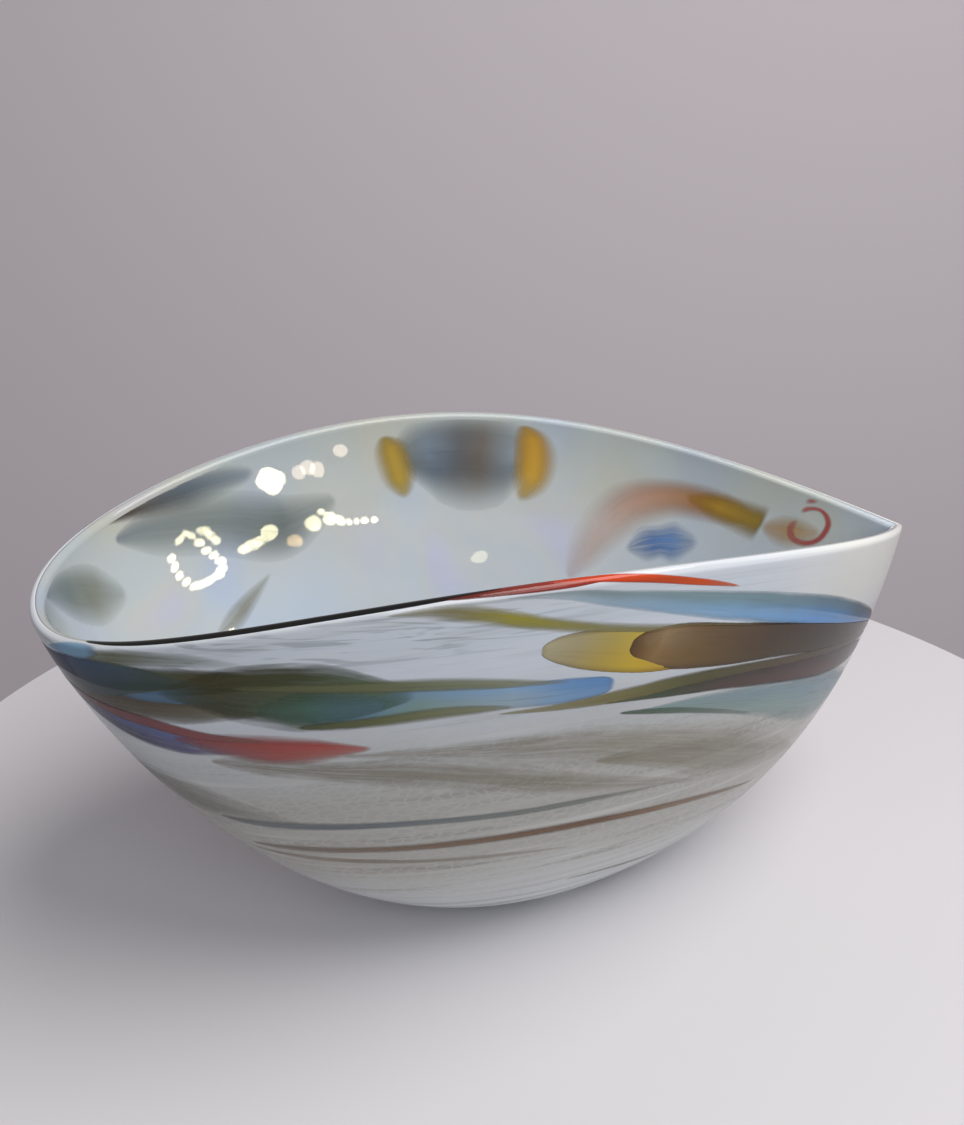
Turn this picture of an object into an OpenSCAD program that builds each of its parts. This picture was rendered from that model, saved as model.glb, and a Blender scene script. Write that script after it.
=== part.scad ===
// Blown art glass bowl, folded into a pointed boat shape.
//
// The wall is three gathers of glass, one inside the other: an opal liner, a thin
// layer of coloured canes and shards laid on it, and a clear casing over both.
// Every surface is the one function skin(angle, level, depth):
//   angle  goes round the bowl, 0 at the pointed tip (+X), 90 at the back (+Y)
//   level  climbs from 0 at the middle of the floor to 1 at the lip
//   depth  passes through the wall, 0 on the outside, 1 on the inside

/* [Bowl] */
// Length from tip to tip
bowl_length = 246; // [220:1:270]
// Width across the mouth
mouth_width = 137; // [120:1:150]
// Height of the lip, averaged all round
lip_height = 107; // [95:1:120]
// How far the two sides rise above that average, and both tips dip below it
side_rise = 11.6; // [6:0.2:16]
// How far the pointed tip sits below the average, and the round one above it
tip_drop = 6.6; // [0:0.2:10]

/* [Folded tips] */
// Pinch of the pointed tip, 1 being a plain ellipse
point_pinch = 2.1; // [1.4:0.1:2.6]
// Radius left at the pointed tip, as a share of the width
point_radius = 0.09; // [0.06:0.01:0.2]
// Pinch of the rounded tip
round_pinch = 0.85; // [0.8:0.05:1.4]
// Radius left at the rounded tip, as a share of the width
round_radius = 0.35; // [0.2:0.05:0.5]
// How much fuller the mouth is towards the rounded tip
fullness_shift = 0.1; // [0:0.02:0.2]

/* [Wall] */
// Thickness at the lip
lip_wall = 3.2; // [2.4:0.2:5]
// Thickness in the middle of the floor
floor_wall = 7; // [5:0.5:10]
// Share of the wall taken by the clear casing
casing_share = 0.34; // [0.3:0.02:0.4]
// Share of the wall taken by casing and colour layer together
colour_share = 0.5; // [0.46:0.02:0.6]

/* [Foot] */
// Width of the ground and polished foot
foot_d = 34; // [28:1:36]
// Height of the foot
foot_h = 2.2; // [2:0.1:3]

/* [Hidden] */

reach_power = 0.85;     // how early the wall swings outwards from the floor
rise_power = 1.65;      // how late it turns upwards
pinch_power = 5;        // how close to the lip the folding of the tips stays
belly_sink = 1.8;       // how far the round belly would reach below the table unground
floor_ease = 6;         // how widely the inside floor is rounded into the wall
sides = 72;             // facets round the bowl
climb = [0.06, 0.14, for (i = [0:12]) 0.2 + 0.8 * i / 12];   // rows up the wall, 1 at its top
casing_crown = [0.03, 0.1, 0.21];                           // rows over the lip, as depths
liner_crown = [0.7, 0.86, 0.96];
cane_depth = [casing_share + 0.05, colour_share - 0.05];
cane_steps = 12;        // facets along one cane
highest_cane = 0.985;   // canes stay below the rounding of the lip
mm_per_degree = 1.7;    // rough size of one degree of angle on the wall
mm_per_level = 150;     // rough length of the wall from floor to lip

// ---- the surface of the bowl ----

// A value for the round tip and one for the point, blended by the cosine of the angle
function tip_mix(round_value, point_value, c) =
    round_value * (1 - c) / 2 + point_value * (1 + c) / 2;

function wall_at(reach) = lip_wall + (floor_wall - lip_wall) * (1 - reach);

function lip_at(angle) = lip_height - tip_drop * cos(angle) - side_rise * cos(2 * angle);

// Sideways reach, drawn in near the tips by the pinch as the lip comes close
function spread(angle, reach) =
    let (s = sin(angle), c = cos(angle),
         pinch = tip_mix(round_pinch, point_pinch, c) - 1,
         radius = tip_mix(round_radius, point_radius, c))
    s * (1 - fullness_shift * c)
      * pow((s * s + radius * radius) / (1 + radius * radius),
            pinch * pow(reach, pinch_power) / 2);

// Fire-polished lip: at each depth the wall stops short of level 1, so that its top
// falls away to both sides of the middle along a half circle
function top_level(depth) =
    let (drop = lip_wall / 2 * (1 - sqrt(max(0, 1 - pow(2 * depth - 1, 2)))))
    acos(pow(drop / (lip_height + belly_sink), 1 / rise_power)) / 90;

// The larger of two heights, with the corner between them eased over a given width
function eased_max(a, b, width) = (a + b + sqrt(pow(a - b, 2) + pow(width, 2))) / 2;

function skin(angle, level, depth) =
    let (reach = pow(sin(90 * level), reach_power),
         rise = 1 - pow(max(0, cos(90 * level)), rise_power),
         inward = depth * wall_at(reach),
         half_l = bowl_length / 2 - inward * tip_mix(1, 1.5, cos(angle)),
         half_w = mouth_width / 2 - inward,
         belly = (lip_at(angle) + belly_sink) * rise - belly_sink)
    [half_l * reach * cos(angle),
     half_w * reach * spread(angle, reach),
     eased_max(foot_h, belly, floor_ease * depth) + inward * (1 - rise)];

// ---- solids made on that surface ----

// Closed shell between two depths, as rings of points: up the outside, over the
// lip, down the inside, with one point in the middle of each floor
module gather(outer_depth, inner_depth, crown) {
    rings = concat([for (v = climb) [v * top_level(outer_depth), outer_depth]],
                   [for (d = crown) [top_level(d), d]],
                   [for (i = [len(climb) - 1:-1:0]) [climb[i] * top_level(inner_depth), inner_depth]]);
    last = len(rings) - 1;
    points = concat([for (r = rings) for (j = [0:sides - 1]) skin(360 * j / sides, r[0], r[1])],
                    [skin(0, 0, outer_depth), skin(0, 0, inner_depth)]);
    bottom = len(points) - 2;
    wall = [for (i = [0:last - 1]) for (j = [0:sides - 1])
            let (a = i * sides + j, b = i * sides + (j + 1) % sides)
            for (f = [[a, a + sides, b], [b, a + sides, b + sides]]) f];
    under = [for (j = [0:sides - 1]) [bottom, j, (j + 1) % sides]];
    floor_top = [for (j = [0:sides - 1])
                 [bottom + 1, last * sides + (j + 1) % sides, last * sides + j]];
    polyhedron(points, concat(wall, under, floor_top));
}

// Smooth curve through hand-placed [angle, level] points, for u from 0 to 1
function curve(p, u) =
    let (n = len(p) - 1, i = min(floor(u * n), n - 1), f = u * n - i,
         a = p[max(i - 1, 0)], b = p[i], c = p[i + 1], d = p[min(i + 2, n)])
    (2 * b + (c - a) * f + (2 * a - 5 * b + 4 * c - d) * f * f
     + (3 * b - a - 3 * c + d) * f * f * f) / 2;

// One step to the side of the curve, one millimetre long, in [angle, level]
function sidestep(p, u) =
    let (e = 0.01, v = curve(p, min(u + e, 1)) - curve(p, max(u - e, 0)),
         along = [v[0] * mm_per_degree, v[1] * mm_per_level])
    [-along[1] / mm_per_degree, along[0] / mm_per_level] / norm(along);

// Half-width profile of a pulled cane: blunt ends, full in the middle
function taper(u) = 0.12 + 0.88 * pow(sin(180 * u), 0.6);

// A cane or shard pressed flat between liner and casing, half_w wide to each side
module cane(path, half_w) {
    section = [[-1, 0], [0, 0], [1, 0], [1, 1], [0, 1], [-1, 1]];
    n = len(section);
    points = [for (i = [0:cane_steps]) for (q = section)
              let (u = i / cane_steps,
                   at = curve(path, u) + sidestep(path, u) * q[0] * half_w * taper(u))
              skin(at[0], min(at[1], highest_cane), cane_depth[q[1]])];
    sides_of = [for (i = [0:cane_steps - 1]) for (j = [0:n - 1])
                let (a = i * n + j, b = i * n + (j + 1) % n)
                for (f = [[a, b, a + n], [b, b + n, a + n]]) f];
    start = [for (f = [[0, 4, 1], [0, 5, 4], [1, 3, 2], [1, 4, 3]]) f];
    e = cane_steps * n;
    end = [for (f = start) [f[0] + e, f[2] + e, f[1] + e]];
    polyhedron(points, concat(sides_of, start, end));
}

// ---- the three gathers ----

module opal_liner() color("#dfe3e6") gather(colour_share, 1, liner_crown);
module clear_casing() color("#e9f1f4", 0.35) gather(0, casing_share, casing_crown);

module ground_foot() color("#d5dde0") rotate_extrude($fn = 96)
    polygon([[0, 0], [foot_d / 2 - 0.6, 0], [foot_d / 2, 0.6], [foot_d / 2, foot_h], [0, foot_h]]);

// ---- colour on the lip and round the rounded tip ----

module lip_trail_black() color("#191a1f")
    cane([[196, 0.978], [215, 0.98], [232, 0.977], [246, 0.972]], 2);
module lip_trail_maroon() color("#5d2a35")
    cane([[246, 0.974], [251, 0.972], [258, 0.966]], 1.6);
module lip_wedge_vermilion() color("#c2553a")
    cane([[258, 0.975], [264, 0.948], [270, 0.92], [277, 0.893]], 1.3);
module lip_wisp_olive() color("#8e8763")
    cane([[204, 0.95], [217, 0.885], [228, 0.825]], 2);
module tip_wisp_sky() color("#9cc0d6")
    cane([[191, 0.93], [201, 0.93], [211, 0.924]], 1.7);
module tip_oval_olive() color("#8a8f84")
    cane([[176, 0.91], [162, 0.84], [150, 0.79]], 6);

// ---- the broad band below the lip, left half ----

module band_navy() color("#2a3142")
    cane([[184, 0.915], [193, 0.887], [199, 0.858], [206, 0.825]], 3.4);
module band_slate() color("#66727c")
    cane([[202, 0.85], [213, 0.82], [225, 0.785]], 4.6);
module band_umber() color("#5e5a45")
    cane([[194, 0.795], [207, 0.796], [218, 0.775]], 2.6);
module band_moss() color("#6d7258")
    cane([[218, 0.84], [227, 0.805], [236, 0.765]], 5);
module band_teal() color("#4e6f6b")
    cane([[229, 0.83], [232, 0.787], [236, 0.745]], 2.6);
module band_sky() color("#93aec6")
    cane([[231, 0.795], [242, 0.762], [253, 0.742], [264, 0.742]], 3.4);
module thread_olive_upper() color("#77714f")
    cane([[235, 0.8], [245, 0.788], [256, 0.768]], 0.8);
module thread_olive_lower() color("#807a5b")
    cane([[232, 0.77], [242, 0.747], [253, 0.731]], 0.8);
module thread_plum() color("#6b4a4c")
    cane([[192, 0.76], [204, 0.767], [211, 0.757], [217, 0.74]], 1.3);
module lens_violet() color("#8a8098")
    cane([[210, 0.757], [216, 0.73], [223, 0.697]], 2.4);
module lens_brick() color("#a5635c")
    cane([[218, 0.737], [226, 0.712], [232, 0.702], [239, 0.694]], 1.4);

// ---- veils and threads across the belly ----

module veil_tan_left() color("#b5aa9c")
    cane([[215, 0.682], [232, 0.645], [250, 0.615], [267, 0.593]], 2.8);
module veil_tan_right() color("#b0a497")
    cane([[239, 0.682], [256, 0.662], [272, 0.63], [290, 0.585], [308, 0.545]], 2.8);
module lens_tan() color("#a89b8b")
    cane([[267, 0.61], [279, 0.587], [290, 0.56], [303, 0.532]], 2.1);
module veil_grey_low() color("#a4a79d")
    cane([[186, 0.665], [200, 0.636], [212, 0.6], [226, 0.56]], 6);
module thread_slate() color("#7d8289")
    cane([[205, 0.557], [225, 0.555], [241, 0.547], [258, 0.54], [273, 0.522]], 1.1);
module thread_brown() color("#6c5a52")
    cane([[207, 0.502], [230, 0.486], [248, 0.486], [262, 0.504], [276, 0.5], [292, 0.463], [308, 0.415]], 1.2);
module thread_tan_low() color("#aa9f92")
    cane([[209, 0.455], [230, 0.44], [250, 0.44], [269, 0.431]], 1.2);
module thread_faint_low() color("#b3aca6")
    cane([[267, 0.335], [285, 0.31], [303, 0.3]], 0.9);

// ---- the sheaf that runs to the pointed tip ----

module ribbon_blue() color("#7aa3c8")
    cane([[254, 0.966], [262, 0.905], [272, 0.856], [287, 0.816], [306, 0.76], [324, 0.708], [342, 0.7]], 4);
module thread_straw() color("#a09154")
    cane([[242, 0.96], [252, 0.918], [261, 0.872], [269, 0.832]], 1.1);
module tongue_amber() color("#a98f4a")
    cane([[252, 0.824], [259, 0.802], [266, 0.787], [274, 0.778]], 4.8);
module tongue_brown() color("#5b4030")
    cane([[264, 0.807], [272, 0.787], [287, 0.752], [306, 0.712], [324, 0.676], [338, 0.672]], 3.6);
module streak_moss() color("#6f7448")
    cane([[251, 0.738], [262, 0.731], [273, 0.728]], 1.3);
module streak_plum() color("#584448")
    cane([[270, 0.727], [287, 0.708], [306, 0.68], [324, 0.652], [340, 0.65]], 1.8);
module wedge_aqua() color("#a3c4cc")
    cane([[262, 0.709], [275, 0.687], [290, 0.66], [308, 0.635], [324, 0.628]], 3);
module thread_dark_green() color("#465447")
    cane([[263, 0.686], [276, 0.665], [289, 0.65]], 0.8);

// ---- colour on the far side, seen best from inside ----

module back_umber() color("#5d5240")
    cane([[163, 0.965], [148, 0.953], [136, 0.93], [120, 0.893]], 4.5);
module back_smoke() color("#8c99a3")
    cane([[140, 0.885], [125, 0.822], [108, 0.77]], 7);
module back_slate_block() color("#77756f")
    cane([[101, 0.832], [90, 0.826], [79, 0.83]], 12);
module back_amber_left() color("#a8894a")
    cane([[100, 0.92], [99, 0.84], [100, 0.75]], 2.4);
module back_amber_right() color("#c4973c")
    cane([[79, 0.945], [76.5, 0.845], [73, 0.745]], 3.2);
module back_rose_arch() color("#a5756b")
    cane([[71, 0.62], [67.5, 0.735], [59, 0.807], [47, 0.835], [37, 0.8]], 5);
module back_honey_tip() color("#b08a3e")
    cane([[53, 0.775], [44, 0.797], [34, 0.815]], 2.6);
module back_blue_star() color("#6d8bb0")
    cane([[64, 0.668], [54, 0.695], [45, 0.705]], 4);
module back_amber_patch() color("#b9853f")
    cane([[39, 0.812], [33, 0.82], [27, 0.824]], 2.6);
module back_red_ring() color("#a34a3c")
    cane([[32.5, 0.84], [31.5, 0.9], [27, 0.9], [25.5, 0.85], [27.5, 0.81], [30.5, 0.8]], 0.9);
module back_red_fleck() color("#b4503f")
    cane([[37, 0.948], [34.5, 0.965], [32, 0.975]], 1);
module back_blue_smoke() color("#8fa3b3")
    cane([[112, 0.588], [92, 0.558], [71, 0.55]], 5);
module back_feather() color("#4a453d")
    cane([[140, 0.655], [134, 0.632], [128, 0.608]], 2.6);

// ---- what is drawn ----

opal_liner();
clear_casing();
ground_foot();
lip_trail_black();
lip_trail_maroon();
lip_wedge_vermilion();
lip_wisp_olive();
tip_wisp_sky();
tip_oval_olive();
band_navy();
band_slate();
band_umber();
band_moss();
band_teal();
band_sky();
thread_olive_upper();
thread_olive_lower();
thread_plum();
lens_violet();
lens_brick();
lens_tan();
veil_tan_left();
veil_tan_right();
veil_grey_low();
thread_slate();
thread_brown();
thread_tan_low();
thread_faint_low();
ribbon_blue();
thread_straw();
tongue_amber();
tongue_brown();
streak_moss();
streak_plum();
wedge_aqua();
thread_dark_green();
back_umber();
back_smoke();
back_slate_block();
back_amber_left();
back_amber_right();
back_rose_arch();
back_honey_tip();
back_blue_star();
back_amber_patch();
back_red_ring();
back_red_fleck();
back_blue_smoke();
back_feather();
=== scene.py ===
# %% [markdown]
# # A blown glass bowl, from the gather to the polished foot
#
# The bowl is hot-worked glass. A white opal gather was blown, canes and shards of coloured
# glass were laid on it, a clear gather went over everything, and the soft vessel was opened
# and folded so that its mouth runs out to a point. This lesson makes the two gathers first,
# lays the canes in them one by one, grinds the foot, and then sets up camera and light.
#
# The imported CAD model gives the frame: metres, +X to the pointed tip, +Z up, the foot on the
# table at the origin. Every piece made here stands for one of its nodes.

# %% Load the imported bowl
import math

import bpy
import numpy as np
from mathutils import Matrix, Vector


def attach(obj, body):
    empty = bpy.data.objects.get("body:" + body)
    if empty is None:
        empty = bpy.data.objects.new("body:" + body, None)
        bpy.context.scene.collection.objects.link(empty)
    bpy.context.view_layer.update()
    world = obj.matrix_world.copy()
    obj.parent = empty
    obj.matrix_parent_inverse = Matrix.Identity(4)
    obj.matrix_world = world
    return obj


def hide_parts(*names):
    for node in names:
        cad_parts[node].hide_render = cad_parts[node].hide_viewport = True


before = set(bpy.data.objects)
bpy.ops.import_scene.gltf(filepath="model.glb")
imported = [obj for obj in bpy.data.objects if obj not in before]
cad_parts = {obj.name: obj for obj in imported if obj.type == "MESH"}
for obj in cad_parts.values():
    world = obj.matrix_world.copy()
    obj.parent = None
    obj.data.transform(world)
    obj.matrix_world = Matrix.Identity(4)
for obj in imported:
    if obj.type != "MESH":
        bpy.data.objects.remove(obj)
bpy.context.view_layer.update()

# %% [markdown]
# ## One formula for the whole wall
#
# Every surface of the bowl, its canes included, lies somewhere in the thickness of one wall.
# It could be sculpted, or lofted through drawn sections, but then the canes would have to be
# fitted to it afterwards. A formula does both: give it an angle round the bowl, a level up
# the wall and a depth into the glass, and it gives a point. The sizes repeat the CAD model's.

# %% The wall as a function
MM = 0.001
BOWL_LENGTH, MOUTH_WIDTH = 246.0, 137.0
LIP_HEIGHT, SIDE_RISE, TIP_DROP = 107.0, 11.6, 6.6
POINT_PINCH, POINT_RADIUS = 2.1, 0.09
ROUND_PINCH, ROUND_RADIUS = 0.85, 0.35
FULLNESS_SHIFT = 0.1
LIP_WALL, FLOOR_WALL = 3.2, 7.0
FOOT_HEIGHT, BELLY_SINK, FLOOR_EASE = 2.2, 1.8, 6.0
REACH_POWER, RISE_POWER, PINCH_POWER = 0.85, 1.65, 5.0


def skin(angle, level, depth):
    """Points of the wall, in metres: angle in degrees from the pointed tip, level 0 in the
    middle of the floor to 1 at the lip, depth 0 outside to 1 inside.

    The wall swings out as a power of the sine of the level and turns up as one minus a power
    of its cosine. Round the bowl it is an ellipse whose width is drawn in near both tips.
    Depth shortens the ellipse and lifts the floor by the thickness of the glass."""
    angle, level, depth = np.broadcast_arrays(
        np.asarray(angle, float), np.asarray(level, float), np.asarray(depth, float))
    turn, climb = np.radians(angle), level * math.pi / 2
    c, s = np.cos(turn), np.sin(turn)
    reach = np.clip(np.sin(climb), 0, 1) ** REACH_POWER
    rise = 1 - np.clip(np.cos(climb), 0, 1) ** RISE_POWER
    to_point = (1 + c) / 2
    pinch = ROUND_PINCH + (POINT_PINCH - ROUND_PINCH) * to_point - 1
    radius = ROUND_RADIUS + (POINT_RADIUS - ROUND_RADIUS) * to_point
    drawn_in = ((s * s + radius ** 2) / (1 + radius ** 2)) ** (pinch * reach ** PINCH_POWER / 2)
    inward = depth * (LIP_WALL + (FLOOR_WALL - LIP_WALL) * (1 - reach))
    x = (BOWL_LENGTH / 2 - inward * (1 + to_point / 2)) * reach * c
    y = (MOUTH_WIDTH / 2 - inward) * reach * s * (1 - FULLNESS_SHIFT * c) * drawn_in
    lip = LIP_HEIGHT - TIP_DROP * c - SIDE_RISE * np.cos(2 * turn)
    belly = (lip + BELLY_SINK) * rise - BELLY_SINK
    ease = FLOOR_EASE * np.clip(depth, 0, None)
    z = (FOOT_HEIGHT + belly + np.hypot(FOOT_HEIGHT - belly, ease)) / 2 + inward * (1 - rise)
    return np.stack([x, y, z], axis=-1) * MM


def level_below_crest(drop):
    """The level whose height is drop millimetres below the crest of the lip."""
    share = np.clip(drop, 0, None) / (LIP_HEIGHT + BELLY_SINK)
    return np.degrees(np.arccos(share ** (1 / RISE_POWER))) / 90


def top_level(depth):
    """The level at which the wall ends: its fire-polished top falls off along a half circle."""
    across = 2 * np.asarray(depth, float) - 1
    return level_below_crest(LIP_WALL / 2 * (1 - np.sqrt(np.clip(1 - across ** 2, 0, 1))))


EDGE_LEVEL = float(top_level(0))                   # where the straight wall turns into the crown


def over_the_lip(angle, level, depth):
    """Points of the outer face that run on over the lip: from EDGE_LEVEL to 1 the level is
    the first quarter turn of the crown, and beyond 1 it goes down the other side."""
    angle, level, depth = np.broadcast_arrays(angle, level, np.asarray(depth, float))
    turn = np.clip((level - EDGE_LEVEL) / (1 - EDGE_LEVEL), 0, 2) * math.pi / 2
    keep = 1 - 2 * depth
    drop = LIP_WALL / 2 * (1 - keep * np.sin(turn))
    crown = level > EDGE_LEVEL
    points = skin(angle, np.where(crown, level_below_crest(drop), level),
                  np.where(crown, 0.5 - keep / 2 * np.cos(turn), depth))
    points[..., 2] += np.where(crown, np.clip(-drop, 0, None), 0) * MM
    return points


tips = skin([0, 180], 1, 0.5)
print("tip to tip at the lip, mm:", np.round(np.linalg.norm(tips[0] - tips[1]) / MM, 1))

# %% [markdown]
# ## Turning points into pieces
#
# A tube of rings closes round on itself and ends in one point at each end. That single form
# covers the two gathers, every cane and the foot. Building the faces as whole arrays keeps
# eight hundred thousand triangles quick. Two attributes travel with each point, so that a finish can
# follow the glass: `level` up the wall, and `inside`, 0 on the outer and 1 on the inner face.

# %% Closed tubes, and a piece made of them
def tube(rings, first, last, level, inside, along=None, across=None):
    """One closed tube as arrays: rings shaped (rings, points, 3) and a pole at each end.

    Quad k of ring r joins points k and k + 1 of rings r and r + 1; a fan closes each pole.
    The faces are turned over when the volume they enclose comes out negative."""
    count, size = rings.shape[:2]
    points = np.concatenate([rings.reshape(-1, 3), [first], [last]])
    r, k = np.meshgrid(np.arange(count - 1), np.arange(size), indexing="ij")
    a, b = r * size + k, r * size + (k + 1) % size
    quads = np.stack([a, b, b + size, a + size], axis=-1).reshape(-1, 4)
    ring, following = np.arange(size), (np.arange(size) + 1) % size
    poles, end = (count * size, count * size + 1), (count - 1) * size
    fans = np.concatenate([
        np.stack([following, ring, np.full(size, poles[0])], axis=-1),
        np.stack([end + ring, end + following, np.full(size, poles[1])], axis=-1)])
    corners = points[quads]
    volume = np.einsum("ij,ij->", corners[:, 0], np.cross(corners[:, 1], corners[:, 2]))
    volume += np.einsum("ij,ij->", corners[:, 0], np.cross(corners[:, 2], corners[:, 3]))
    if volume < 0:
        quads, fans = quads[:, ::-1], fans[:, ::-1]
    values = {"level": level, "inside": inside, "along": along, "across": across}
    values = {label: np.append(v.ravel(), [v[0].mean(), v[-1].mean()])
              for label, v in values.items() if v is not None}
    return {"points": points, "quads": quads, "fans": fans, "values": values}


def piece_of(name, tubes):
    """A mesh object at the origin made of closed tubes, with their values as attributes.
    along and across also become its UV map."""
    offsets = np.cumsum([0] + [len(t["points"]) for t in tubes])
    points = np.concatenate([t["points"] for t in tubes])
    faces = []
    for t, offset in zip(tubes, offsets):
        faces += (t["quads"] + offset).tolist() + (t["fans"] + offset).tolist()
    mesh = bpy.data.meshes.new(name)
    mesh.from_pydata(points.tolist(), [], faces)
    mesh.polygons.foreach_set("use_smooth", np.ones(len(faces), bool))
    values = {label: np.concatenate([t["values"][label] for t in tubes])
              for label in tubes[0]["values"]}
    for label in ("level", "inside"):
        store = mesh.attributes.new(label, "FLOAT", "POINT")
        store.data.foreach_set("value", values[label].astype(np.float32))
    if "along" in values:
        corner = np.zeros(len(mesh.loops), np.int32)
        mesh.loops.foreach_get("vertex_index", corner)
        uv = np.stack([values["along"][corner], values["across"][corner]], axis=-1)
        mesh.uv_layers.new(name="cane").data.foreach_set("uv", uv.ravel())
    piece = bpy.data.objects.new(name, mesh)
    bpy.context.scene.collection.objects.link(piece)
    return piece


def place(piece, node, finish):
    """Rides the piece on the bowl in place of its CAD node and gives it its finish."""
    piece.data.materials.append(finish.material)
    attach(piece, "root")
    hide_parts(node)


print("nodes to stand for:", len(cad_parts))

# %% [markdown]
# ## Shader maths that reads like arithmetic
#
# A finish is a page of small sums: how far up the wall, how near an edge, how much noise.
# Adding Math nodes one by one hides them. The class below wraps a number socket, so that a
# sum in Python adds its nodes by itself. Everything that isn't a sum comes from one method.

# %% Numbers that vary over a surface
class Number:
    """A number socket; arithmetic on it adds Math nodes to the same finish."""

    def __init__(self, finish, socket):
        self.finish, self.socket = finish, socket

    def math(self, operation, *values):
        node = self.finish.add("ShaderNodeMath", {"operation": operation}, dict(enumerate(values)))
        return Number(self.finish, node.outputs[0])

    def __add__(self, other):
        return self.math("ADD", self, other)

    __radd__ = __add__

    def __sub__(self, other):
        return self.math("SUBTRACT", self, other)

    def __rsub__(self, other):
        return self.math("SUBTRACT", other, self)

    def __mul__(self, other):
        return self.math("MULTIPLY", self, other)

    __rmul__ = __mul__

    def __truediv__(self, other):
        return self.math("DIVIDE", self, other)

    def power(self, exponent):
        return self.math("POWER", self, exponent)

    def size(self):
        return self.math("ABSOLUTE", self)

    def least(self, other):
        return self.math("MINIMUM", self, other)

    def smooth(self, low, high):
        """0 below low, 1 above high, eased between."""
        node = self.finish.add("ShaderNodeMapRange", {"interpolation_type": "SMOOTHSTEP"},
                               {"Value": self, "From Min": low, "From Max": high})
        return Number(self.finish, node.outputs["Result"])


class Finish:
    """The node tree of one material, with its Principled shader as `shader`."""

    def __init__(self, name, **constants):
        self.material = bpy.data.materials.new(name)
        self.material.use_nodes = True
        self.tree = self.material.node_tree
        self.tree.nodes.clear()
        self.shader = self.add("ShaderNodeBsdfPrincipled", {}, constants)
        self.add("ShaderNodeOutputMaterial", {}, {"Surface": self.shader.outputs[0]})

    def add(self, kind, settings, inputs):
        """Adds a node: its own settings first, then a value or a link for each socket."""
        node = self.tree.nodes.new(kind)
        for key, value in settings.items():
            if key == "stops":
                ramp = node.color_ramp
                while len(ramp.elements) < len(value):
                    ramp.elements.new(0.5)
                for element, (position, colour) in zip(ramp.elements, value):
                    element.position, element.color = position, colour
            else:
                setattr(node, key, value)
        for key, value in inputs.items():
            self.feed(node.inputs[key], value)
        return node

    def feed(self, socket, value):
        if isinstance(value, Number):
            value = value.socket
        if isinstance(value, bpy.types.NodeSocket):
            self.tree.links.new(value, socket)
        else:
            socket.default_value = value

    def number(self, socket):
        return Number(self, socket)

    def attribute(self, label):
        node = self.add("ShaderNodeAttribute", {"attribute_name": label}, {})
        return Number(self, node.outputs["Fac"])

    def vector(self, x, y, z):
        """Three numbers joined into one vector socket."""
        return self.add("ShaderNodeCombineXYZ", {}, {"X": x, "Y": y, "Z": z}).outputs[0]

    def axes(self, vector):
        """The three numbers of a vector socket."""
        split = self.add("ShaderNodeSeparateXYZ", {}, {"Vector": vector})
        return [Number(self, split.outputs[axis]) for axis in "XYZ"]

    def ramp(self, factor, stops):
        """Colour and opacity from (position, colour) stops, in order of position."""
        node = self.add("ShaderNodeValToRGB", {"stops": stops}, {"Fac": factor})
        return node.outputs["Color"], Number(self, node.outputs["Alpha"])

    def mix(self, factor, a, b):
        node = self.add("ShaderNodeMix", {"data_type": "RGBA"}, {"Factor": factor, 6: a, 7: b})
        return node.outputs[2]

    def noise(self, vector, scale, detail=3.0, roughness=0.5, distortion=0.0):
        node = self.add("ShaderNodeTexNoise", {}, {
            "Vector": vector, "Scale": scale, "Detail": detail,
            "Roughness": roughness, "Distortion": distortion})
        return Number(self, node.outputs["Fac"])

    def bump(self, height, strength, distance):
        node = self.add("ShaderNodeBump", {}, {
            "Height": height, "Strength": strength, "Distance": distance})
        self.feed(self.shader.inputs["Normal"], node.outputs[0])


def paint(code, opacity=1.0):
    """A colour for a node, from the usual six-figure code."""
    channels = np.array([int(code[i:i + 2], 16) / 255 for i in (1, 3, 5)])
    linear = np.where(channels <= 0.04045, channels / 12.92, ((channels + 0.055) / 1.055) ** 2.4)
    return (*linear.tolist(), opacity)


print("opal white in linear light:", np.round(paint("#dfe3e6")[:3], 3))

# %% [markdown]
# ## The surface of the clear casing
#
# Outside, all the colour lies under clear glass, so its gloss is a coat with the index of
# glass over colour that is a little rougher. Inside nothing lies over the opal, so there the
# opal itself is the polished face. A blown wall is never dead true: slow swells run over it,
# stronger on the inside, where the tool that opened the bowl has touched it, and they pull
# the reflections there out of shape. They read Object coordinates, so they run on unbroken
# from the wall to the canes.

# %% The polished skins
CASED = {"Roughness": 0.22, "IOR": 1.5, "Specular IOR Level": 0.0, "Coat Weight": 0.6,
         "Coat Roughness": 0.03, "Coat IOR": 1.5}
BARE = {"Roughness": 0.05, "IOR": 1.5, "Specular IOR Level": 0.3}
SWELLS_PER_METRE, FINE_PER_METRE, FINE_SHARE = 22.0, 90.0, 0.12
OUTSIDE_SHARE = 0.5                                # swells outside, as a share of those inside
SWELL_STRENGTH, SWELL_HEIGHT = 0.35, 0.004         # the height is in metres


def polished(name, gloss):
    """A Finish with its gloss, cased or bare, and the slow swells of a blown wall."""
    finish = Finish(name, **gloss)
    place_on_wall = finish.add("ShaderNodeTexCoord", {}, {}).outputs["Object"]
    swell = finish.noise(place_on_wall, SWELLS_PER_METRE, detail=2.0, distortion=0.4)
    fine = finish.noise(place_on_wall, FINE_PER_METRE, detail=1.0)
    share = finish.attribute("inside") * (1 - OUTSIDE_SHARE) + OUTSIDE_SHARE
    finish.bump((swell + fine * FINE_SHARE) * share, SWELL_STRENGTH, SWELL_HEIGHT)
    finish.object_place = place_on_wall
    return finish


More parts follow.
